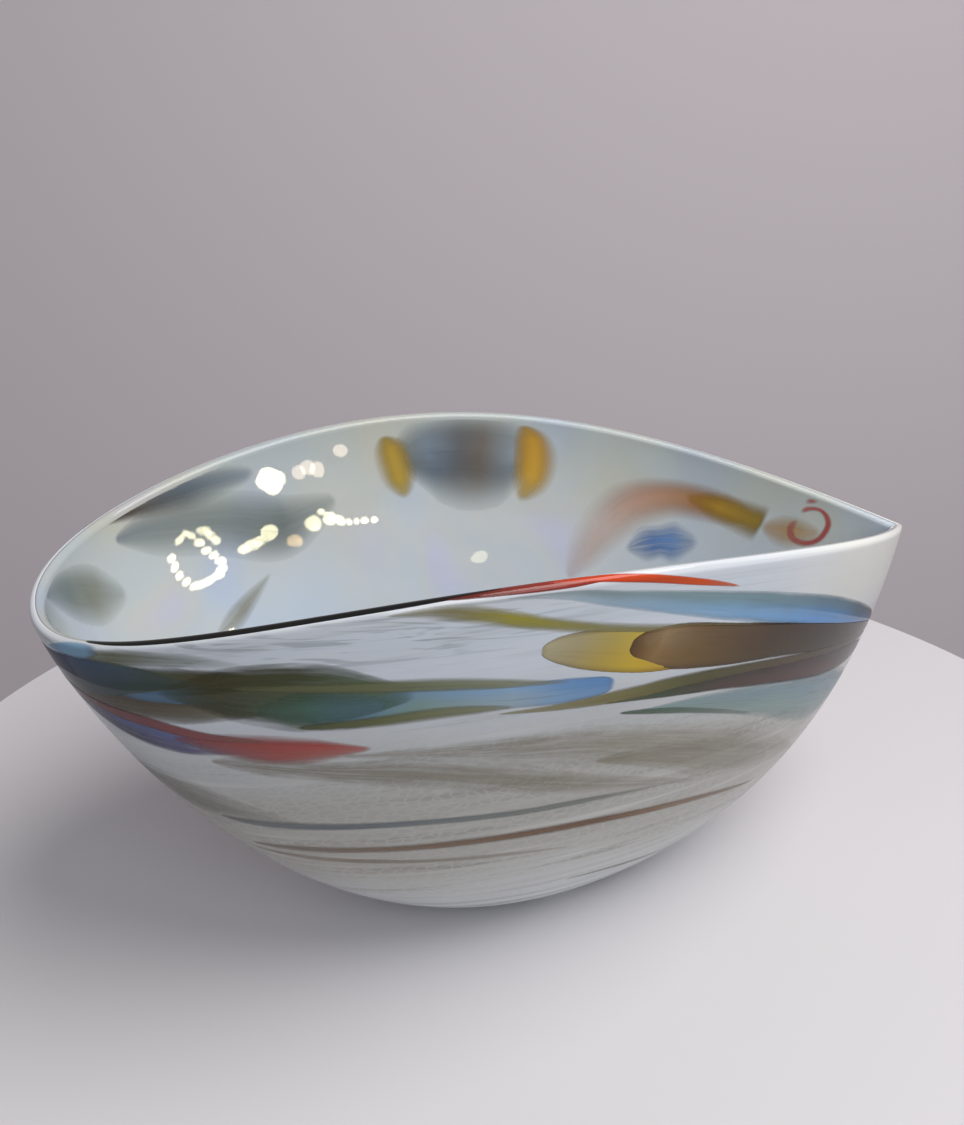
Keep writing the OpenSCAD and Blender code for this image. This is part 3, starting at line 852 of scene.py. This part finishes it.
lay_cane(
    "tongue_brown",
    [(264, 0.806, 3.2), (266.5, 0.800, 5.0), (270, 0.790, 6.4), (277, 0.775, 5.9), (288, 0.758, 4.8),
     (304, 0.730, 4.0), (324, 0.704, 3.2)],
    [(0, "#4b3218", 1), (0.10, "#6f5532", 1), (0.22, "#947b58", 1), (0.4, "#6d5536", 1),
     (0.6, "#3f2e1c", 1), (0.8, "#221914", 1), (1, "#100d0c", 1)],
    [(0, "#43290f", 1), (0.10, "#6b4c20", 1), (0.22, "#886a3c", 1), (0.4, "#6b522a", 1),
     (0.6, "#43321a", 1), (0.8, "#2c2217", 1), (1, "#100d0c", 1)],
    ends=(0.10, 0.3), layer=4, feather=0.2, fibre=0.4, rim=1.0)
lay_cane(
    "streak_moss",
    [(250, 0.724, 0.5), (257, 0.719, 1.0), (265, 0.720, 1.7), (272, 0.724, 1.8), (282, 0.722, 1.4),
     (300, 0.708, 1.3), (322, 0.692, 1.2)],
    [(0, "#9a9370", 0.5), (0.3, "#7b7548", 0.9), (0.5, "#54522f", 1), (0.75, "#4a3c2c", 1),
     (1, "#1f1917", 1)],
    ends=(0.3, 0.2), layer=3, feather=0.6, fibre=0.4)
lay_cane(
    "streak_plum",
    [(262, 0.712, 0.8), (269, 0.714, 1.8), (277, 0.710, 2.4), (288, 0.700, 3.4), (304, 0.680, 4.0),
     (322, 0.668, 3.8)],
    [(0, "#4c5238", 0.8), (0.2, "#2f3a28", 1), (0.42, "#33302a", 1), (0.7, "#33211f", 1),
     (1, "#17100f", 1)],
    [(0, "#5c6148", 0.8), (0.2, "#3c4a34", 1), (0.42, "#4a3a33", 1), (0.7, "#4b3230", 1),
     (1, "#241a1a", 1)],
    ends=(0.25, 0.3), layer=2, feather=0.4, fibre=0.4)
lay_cane(
    "wedge_aqua",
    [(266, 0.686, 0.8), (275, 0.677, 2.2), (287, 0.654, 4.4), (299, 0.626, 6.4), (312, 0.602, 7.2),
     (324, 0.600, 4.0)],
    [(0, "#8aa8a8", 0.6), (0.4, "#84a0aa", 0.8), (0.8, "#7d93a0", 0.85), (1, "#667a86", 0.7)],
    [(0, "#7f9a94", 0.6), (0.4, "#93aba9", 0.7), (0.8, "#93a8ad", 0.7), (1, "#7c8f98", 0.6)],
    ends=(0.25, 0.35), feather=0.7, fibre=0.6, rim=0.1)
lay_cane(
    "thread_dark_green",
    [(264, 0.690, 0.5), (269, 0.681, 0.8), (275, 0.666, 0.8), (286, 0.632, 0.6)],
    [(0, "#4e6152", 0.8), (0.5, "#5b6e60", 0.8), (1, "#7f8d84", 0.2)],
    ends=(0.3, 0.4), layer=1, feather=0.7, fibre=0.3, rim=0)

# %% [markdown]
# ## The back wall
#
# Through the mouth the far wall shows its canes from behind the opal, so their edges are
# soft. The same lenses lie crisp on the outside of the back, where the clear casing is over
# them. That could take a second set of shapes, but glass pulled as one piece has one outline,
# so both sides follow the same points.

# %% The back wall
SOFT = {"feather": 0.8, "show_inside": 1.0}
lay_cane(
    "back_umber",
    [(154, 0.985, 1.4), (147, 0.955, 3.4), (140, 0.935, 6.0), (132, 0.915, 7.4), (122, 0.885, 5.0)],
    [(0, "#4a3320", 0.8), (0.35, "#3f3424", 0.95), (0.7, "#4b5660", 0.85), (1, "#6b7d8c", 0.3)],
    [(0, "#6b4f34", 0.8), (0.35, "#5e5140", 0.95), (0.7, "#5d6c78", 0.85), (1, "#7b8c98", 0.3)],
    layer=2, rim=0.1, **SOFT)
lay_cane(
    "back_smoke",
    [(150, 0.890, 4.0), (142, 0.862, 8.0), (130, 0.805, 8.6), (120, 0.755, 8.4), (110, 0.775, 5.0)],
    [(0, "#74808c", 0.6), (0.5, "#76807c", 0.6), (0.75, "#67706f", 0.75), (1, "#8f9893", 0.2)],
    ends=(0.35, 0.35), rim=0, **SOFT)
lay_cane(
    "back_slate_block",
    [(99, 0.832, 8.0), (94, 0.842, 13.0), (88, 0.842, 15.5), (82, 0.835, 14.0), (77, 0.828, 8.0)],
    [(0, "#6a6a5c", 0.7), (0.25, "#4f6072", 0.95), (0.45, "#4d4f52", 1), (0.6, "#5a4f44", 1),
     (0.8, "#66727c", 0.95), (1, "#8a8052", 0.6)],
    [(0, "#77765f", 0.6), (0.25, "#7a8896", 0.9), (0.45, "#5c5e62", 0.95), (0.6, "#6b625a", 0.95),
     (0.8, "#8a949a", 0.9), (1, "#938648", 0.5)],
    ends=(0.25, 0.25), layer=1, fibre=0.4, rim=0.1, **SOFT)
lay_cane(
    "back_amber_left",
    [(101, 0.905, 1.6), (100, 0.870, 3.6), (99.5, 0.825, 4.2), (99, 0.780, 3.6), (98.5, 0.745, 1.6)],
    [(0, "#8f7a2c", 0.6), (0.3, "#a3831e", 1), (0.7, "#a88a26", 1), (1, "#a79650", 0.4)],
    ends=(0.25, 0.25), layer=3, fibre=0.3, rim=0.1, **SOFT)
lay_cane(
    "back_amber_right",
    [(79, 0.935, 1.8), (77.5, 0.890, 4.0), (77, 0.830, 5.0), (77.5, 0.775, 4.4), (79.5, 0.730, 2.0)],
    [(0, "#97761c", 0.6), (0.3, "#b58610", 1), (0.7, "#b88d1c", 1), (1, "#aa9348", 0.4)],
    ends=(0.25, 0.25), layer=3, fibre=0.3, rim=0.1, **SOFT)
lay_cane(
    "back_rose_arch",
    [(70, 0.590, 2.4), (67.5, 0.640, 4.8), (64, 0.705, 6.2), (60, 0.760, 6.4), (54, 0.796, 6.0),
     (47, 0.806, 5.8), (41, 0.802, 5.2)],
    [(0, "#bfa99f", 0.3), (0.3, "#ccb0a2", 0.6), (0.55, "#c0987f", 0.8), (0.8, "#a36d33", 0.9),
     (1, "#a8781f", 0.5)],
    [(0, "#c4b2aa", 0.3), (0.3, "#d0b9ae", 0.5), (0.55, "#bd8f76", 0.8), (0.8, "#a07030", 0.9),
     (1, "#a8781f", 0.5)],
    ends=(0.2, 0.15), layer=1, fibre=0.4, rim=0.1, **SOFT)
lay_cane(
    "back_honey_tip",
    [(52, 0.806, 2.4), (47, 0.806, 4.4), (42, 0.802, 5.6), (37.5, 0.800, 6.2)],
    [(0, "#a8751c", 0.3), (0.4, "#a37c14", 1), (1, "#7f6a12", 1)],
    ends=(0.4, 0.04), layer=3, feather=0.4, fibre=0.4, rim=0.2, show_inside=1.0)
lay_cane(
    "back_blue_star",
    [(60, 0.660, 1.6), (57, 0.676, 4.6), (54, 0.690, 4.4), (51, 0.698, 5.6), (47, 0.712, 2.6)],
    [(0, "#8595ad", 0.3), (0.4, "#4f74ac", 0.95), (0.7, "#5f84b8", 0.95), (1, "#8d9db0", 0.2)],
    ends=(0.35, 0.35), layer=1, fibre=0.9, rim=0, **SOFT)
lay_cane(
    "back_amber_patch",
    [(38, 0.790, 2.6), (34, 0.800, 5.6), (30, 0.814, 5.2), (26, 0.830, 3.0)],
    [(0, "#b28a4e", 0.4), (0.5, "#b98f4c", 0.7), (1, "#bfa276", 0.3)],
    ends=(0.35, 0.35), rim=0, **SOFT)
lay_cane(
    "back_red_ring",
    [(32, 0.868, 0.9), (31, 0.892, 1.2), (29, 0.905, 1.2), (27, 0.893, 1.2), (25.5, 0.860, 1.2),
     (25.8, 0.815, 1.2), (28, 0.790, 1.2), (31, 0.790, 1.2), (32.5, 0.815, 1.2), (32, 0.846, 0.9)],
    [(0, "#b3574f", 0.7), (0.5, "#a83e3a", 0.95), (1, "#b3655c", 0.6)],
    ends=(0.1, 0.1), layer=2, feather=0.6, fibre=0.4, rim=0, show_inside=1.0)
lay_cane(
    "back_red_fleck",
    [(32, 0.905, 0.8), (31, 0.930, 1.4), (29.5, 0.955, 0.8)],
    [(0, "#b5655c", 0.6), (0.5, "#b04c46", 0.8), (1, "#bb7c74", 0.4)],
    ends=(0.4, 0.4), layer=3, fibre=0.2, rim=0, **SOFT)
lay_cane(
    "back_blue_smoke",
    [(113, 0.500, 0.8), (104, 0.490, 2.0), (94, 0.488, 3.0), (84, 0.497, 1.8)],
    [(0, "#9fb0c4", 0.3), (0.5, "#7f93ae", 0.7), (1, "#9fb0c4", 0.2)],
    ends=(0.4, 0.4), fibre=0.6, rim=0, **SOFT)
lay_cane(
    "back_feather",
    [(141, 0.630, 0.8), (136, 0.636, 2.4), (130, 0.657, 1.8), (125, 0.680, 0.7)],
    [(0, "#a49f8f", 0.3), (0.5, "#8d8a77", 0.7), (1, "#a3a092", 0.2)],
    ends=(0.4, 0.4), fibre=0.8, rim=0, **SOFT)
lay_cane(
    "tip_oval_olive",
    [(176, 0.960, 2.6), (171, 0.915, 6.0), (165, 0.860, 8.6), (159, 0.812, 8.0), (153, 0.776, 4.0)],
    [(0, "#7b8a92", 0.5), (0.4, "#6e7c7c", 0.75), (0.7, "#7a7f70", 0.7), (1, "#97a09a", 0.2)],
    ends=(0.3, 0.35), rim=0.5, **SOFT)

# %% [markdown]
# ## The ground foot
#
# A blown bowl is cracked off its punty, and the scar is ground flat and then polished to a
# shallow dimple. It could stay the plain CAD disc, but the underside is handled and looked
# at, so it gets the ground ring, the polished hollow and the marks of the wheel.

# %% The foot
FOOT_RADIUS, DIMPLE_RADIUS, DIMPLE_DEPTH = 17.0, 11.5, 0.9
FOOT_COLUMNS = 160
FOOT_EDGE, FOOT_TOP = 0.5, FOOT_HEIGHT + 0.6       # the top is buried in the wall


def foot_rings():
    """Rings of the foot from the middle of the dimple out over the ground ring and up into
    the wall: the dimple is a parabola, the outer edge a quarter circle, the side upright."""
    dimple = np.linspace(0.04, 1, 24)
    flat = np.linspace(0, 1, 8)
    edge = np.linspace(0, math.pi / 2, 8)
    radius = np.concatenate([DIMPLE_RADIUS * dimple,
                             DIMPLE_RADIUS + (FOOT_RADIUS - FOOT_EDGE - DIMPLE_RADIUS) * flat[1:],
                             FOOT_RADIUS - FOOT_EDGE * (1 - np.sin(edge[1:])), [FOOT_RADIUS]])
    height = np.concatenate([DIMPLE_DEPTH * (1 - dimple ** 2), np.zeros(7),
                             FOOT_EDGE * (1 - np.cos(edge[1:])), [FOOT_TOP]])
    turn = np.linspace(0, math.tau, FOOT_COLUMNS, endpoint=False)
    rings = np.stack([radius[:, None] * np.cos(turn), radius[:, None] * np.sin(turn),
                      np.repeat(height[:, None], FOOT_COLUMNS, axis=1)], axis=-1) * MM
    return rings, height


rings, height = foot_rings()
levels = np.repeat(height[:, None] / LIP_HEIGHT, FOOT_COLUMNS, axis=1)
foot = piece_of("ground_foot_glass", [tube(
    rings, (0, 0, DIMPLE_DEPTH * MM), (0, 0, FOOT_TOP * MM), levels,
    np.zeros(levels.shape))])
print("foot faces:", len(foot.data.polygons))

# %% [markdown]
# ## Ground glass and polished glass
#
# Grinding leaves a white, dull surface with rings from the wheel; polishing brings back the
# clear shine. One finish does both, because both depend only on how far from the axis a
# point lies. That distance is worked out in the shader, so it needs no second mesh.

# %% The finish of the foot
WHEEL_RINGS, WHEEL_GRAIN = 6, 90                   # per millimetre outwards; per metre across
GROUND_DULLNESS, WHEEL_DULLNESS, SHINE = 0.35, 0.1, 0.15


def ground_glass():
    """Polished inside the dimple, ground outside it, by the distance from the axis."""
    finish = polished("ground and polished foot", CASED)
    x, y, _ = finish.axes(finish.object_place)
    from_axis = (x * x + y * y).power(0.5) / MM
    ground = from_axis.smooth(DIMPLE_RADIUS - 0.6, DIMPLE_RADIUS + 0.2)
    wheel = finish.noise(finish.vector(from_axis * WHEEL_RINGS, x * WHEEL_GRAIN, y * WHEEL_GRAIN),
                         1.0, detail=3.0)
    whitened = finish.mix(ground * (wheel * 0.5 + 0.4), paint("#b3b8b8"), paint("#d5d7d4"))
    dullness = ground * GROUND_DULLNESS + wheel * WHEEL_DULLNESS + SHINE
    for socket, value in (("Base Color", whitened), ("Roughness", dullness),
                          ("Coat Weight", 1 - ground * 0.9)):
        finish.feed(finish.shader.inputs[socket], value)
    return finish


place(foot, "ground_foot", ground_glass())
print("foot finish nodes:", len(foot.data.materials[0].node_tree.nodes))

# %% [markdown]
# ## Camera
#
# The camera stands a little above the lip and close by, so the near lip falls below the far
# one and the round tip looms. It is turned off the bowl's long axis and looks down on it.

# %% Camera
CAMERA_PLACE = (-0.11198, -0.22522, 0.194)
LOOK_TURN, LOOK_DOWN, ROLL = 0.4, math.radians(21.8), math.radians(0.58)   # all in radians
SENSOR_WIDTH, FOCAL_LENGTH = 36.0, 33.12           # millimetres
camera_data = bpy.data.cameras.new("camera")
camera_data.sensor_width = SENSOR_WIDTH
camera_data.lens = FOCAL_LENGTH
camera = bpy.data.objects.new("camera", camera_data)
bpy.context.scene.collection.objects.link(camera)
forward = Vector((math.sin(LOOK_TURN) * math.cos(LOOK_DOWN),
                  math.cos(LOOK_TURN) * math.cos(LOOK_DOWN), -math.sin(LOOK_DOWN)))
level_right = forward.cross(Vector((0, 0, 1))).normalized()
level_up = level_right.cross(forward)
right = level_right * math.cos(ROLL) + level_up * math.sin(ROLL)
up = level_up * math.cos(ROLL) - level_right * math.sin(ROLL)
turned = Matrix((right, up, -forward)).transposed().to_4x4()
camera.matrix_world = Matrix.Translation(CAMERA_PLACE) @ turned
bpy.context.scene.camera = camera
print("camera looks along", [round(value, 3) for value in forward])

# %% [markdown]
# ## Table and backdrop
#
# The bowl stands on a round pale table in front of a mauve-grey wall. The two could be one
# curved sheet, but the table's far edge shows behind the bowl, and glass needs a dark and a
# bright side to reflect. Both are staged, so they don't go out with the bowl.

# %% Table and backdrop
def stage_piece(name, points, faces, code, roughness):
    mesh = bpy.data.meshes.new(name)
    mesh.from_pydata(points, [], faces)
    mesh.polygons.foreach_set("use_smooth", np.zeros(len(faces), bool))
    piece = bpy.data.objects.new(name, mesh)
    bpy.context.scene.collection.objects.link(piece)
    piece.data.materials.append(Finish(name + " surface", **{
        "Base Color": paint(code), "Roughness": roughness}).material)
    return piece


TABLE_CENTRE, TABLE_RADIUS, TABLE_THICKNESS, TABLE_SIDES = (0.0173, 0.0344), 0.204, 0.02, 256
turn = np.linspace(0, math.tau, TABLE_SIDES, endpoint=False)
edge_x = TABLE_CENTRE[0] + TABLE_RADIUS * np.cos(turn)
edge_y = TABLE_CENTRE[1] + TABLE_RADIUS * np.sin(turn)
table_points = [(x, y, z) for z in (0.0, -TABLE_THICKNESS)
                for x, y in zip(edge_x.tolist(), edge_y.tolist())]
table_faces = [list(range(TABLE_SIDES)), list(range(2 * TABLE_SIDES - 1, TABLE_SIDES - 1, -1))]
table_faces += [[k, k + TABLE_SIDES, (k + 1) % TABLE_SIDES + TABLE_SIDES, (k + 1) % TABLE_SIDES]
                for k in range(TABLE_SIDES)]
stage_piece("round_table", table_points, table_faces, "#cdcbce", 0.45)

BACKDROP_DISTANCE, BACKDROP_HALF, BACKDROP_LOW, BACKDROP_HIGH = 0.75, 2.5, -1.2, 2.5
flat_forward = Vector((math.sin(LOOK_TURN), math.cos(LOOK_TURN), 0))
middle = flat_forward * BACKDROP_DISTANCE
sideways = Vector((flat_forward.y, -flat_forward.x, 0)) * BACKDROP_HALF
corners = [(-1, BACKDROP_LOW), (1, BACKDROP_LOW), (1, BACKDROP_HIGH), (-1, BACKDROP_HIGH)]
backdrop_points = [tuple(middle + sideways * side + Vector((0, 0, height)))
                   for side, height in corners]
stage_piece("backdrop", backdrop_points, [[0, 1, 2, 3]], "#ccc4c8", 0.9)
print("table across, m:", 2 * TABLE_RADIUS)

# %% [markdown]
# ## Light
#
# One broad soft light hangs high on the camera's side, to the right, so the soft shadow falls
# away to the left. A weaker panel straight in front keeps the near wall open, and a dim grey
# room fills the rest. Small hard lights would be simpler to place, but each would leave a
# second bright dot on the glass.

# %% Lights
def area_light(name, place_at, aim, size, power, colour):
    light = bpy.data.lights.new(name, "AREA")
    light.shape, light.size, light.energy, light.color = "DISK", size, power, colour
    lamp = bpy.data.objects.new(name, light)
    bpy.context.scene.collection.objects.link(lamp)
    away = (Vector(place_at) - Vector(aim)).normalized()
    turned = away.to_track_quat("Z", "Y").to_matrix().to_4x4()
    lamp.matrix_world = Matrix.Translation(place_at) @ turned
    return lamp


area_light("soft_key", (0.34, -0.42, 1.0), (0.0, -0.12, 0), 0.8, 11.3, (1.0, 0.985, 0.96))
area_light("soft_front", (-0.1, -1.0, 0.75), (0, -0.1, 0.05), 0.7, 4.0, (0.95, 0.975, 1.0))

world = bpy.data.worlds.new("room")
world.use_nodes = True
sky = world.node_tree.nodes["Background"]
sky.inputs["Color"].default_value = paint("#c9c8cc")
sky.inputs["Strength"].default_value = 0.5
bpy.context.scene.world = world
bpy.context.scene.view_settings.view_transform = "Standard"

# %% [markdown]
# ## Sparks in the mouth
#
# Small warm lamps show in the inner wall as bright broken shapes. Each is named by the place
# on the wall where it should appear. Its direction is the mirror image of the line from
# there to the camera, in the plane through the wall's normal, and it hangs close by, so that
# the slow swells of the glass bend its reflection but can't carry it far away. They light
# nothing else: they show in reflections only.

# %% Sparks
SPARK_REACH = 0.016                                # metres from the wall to the lamp
SPARK_SPREAD = math.radians(70)
SMALL_TURN, SMALL_CLIMB = 0.5, 0.004               # steps that measure the wall's slopes
SPARK_GAIN = 0.22                                  # the narrow cone makes each lamp stronger


def spark(name, angle, level, radius_mm, radiance, colour):
    """A lamp whose reflection shows at one place on the inner wall."""
    here = Vector(skin(angle, level, 1.0))
    round_bowl = Vector(skin(angle + SMALL_TURN, level, 1.0) - skin(angle - SMALL_TURN, level, 1.0))
    up_wall = Vector(skin(angle, level + SMALL_CLIMB, 1.0) - skin(angle, level - SMALL_CLIMB, 1.0))
    normal = round_bowl.cross(up_wall).normalized()
    to_camera = (Vector(CAMERA_PLACE) - here).normalized()
    if normal.dot(to_camera) < 0:
        normal.negate()
    mirrored = normal * (2 * normal.dot(to_camera)) - to_camera
    radius = radius_mm * MM
    power = SPARK_GAIN * radiance * math.pi * math.pi * radius ** 2
    lamp = area_light(name, here + mirrored * SPARK_REACH, here, 2 * radius, power, colour)
    lamp.visible_camera = False
    lamp.visible_diffuse = False
    lamp.data.spread = SPARK_SPREAD


CREAM, AMBER, PINK = (1.0, 0.93, 0.58), (1.0, 0.70, 0.30), (1.0, 0.80, 0.62)
SPARKS = {                                         # (angle, level, radius in millimetres)
    "ring": (26, CREAM, [
        (138, 0.806, 1.0), (136.6, 0.812, 1.0), (135.4, 0.800, 1.0), (134.8, 0.783, 1.0),
        (134.4, 0.765, 1.0), (133.6, 0.750, 1.0), (133, 0.735, 1.0), (133.4, 0.722, 1.0),
        (134.6, 0.714, 1.0), (136.2, 0.712, 1.0), (137.8, 0.718, 1.0), (139.2, 0.733, 1.0),
        (140.3, 0.750, 1.0), (140.8, 0.768, 1.0), (140.9, 0.785, 1.0)]),
    "chain": (26, CREAM, [
        (128, 0.738, 1.2), (126.6, 0.741, 1.4), (125.2, 0.744, 1.4), (123, 0.752, 2.3),
        (115, 0.737, 2.2), (113.2, 0.754, 1.0), (112, 0.738, 1.8), (110.4, 0.731, 1.2),
        (109, 0.727, 0.9), (107.6, 0.725, 0.9), (106.2, 0.723, 0.9), (104.8, 0.721, 0.9)]),
    "bar": (24, CREAM, [(133.2, 0.800, 1.1), (132.6, 0.787, 1.1), (132.2, 0.774, 1.1)]),
    "high": (24, CREAM, [
        (120, 0.862, 2.3), (119, 0.850, 2.3), (119.8, 0.838, 2.3), (120.6, 0.850, 2.3)]),
    "pink": (10, PINK, [
        (115, 0.850, 1.8), (113.4, 0.856, 1.8), (112, 0.846, 1.8), (108, 0.876, 1.8)]),
    "amber": (14, AMBER, [(119, 0.716, 1.8)]),
    "low": (20, CREAM, [(137.5, 0.624, 1.6)]),
    "faint": (7, CREAM, [(87, 0.626, 2.0)]),
}
for group, (radiance, tint, places) in SPARKS.items():
    for i, (angle, level, radius_mm) in enumerate(places):
        label = f"spark_{group}_{i}" if len(places) > 1 else f"spark_{group}"
        spark(label, angle, level, radius_mm, radiance, tint)
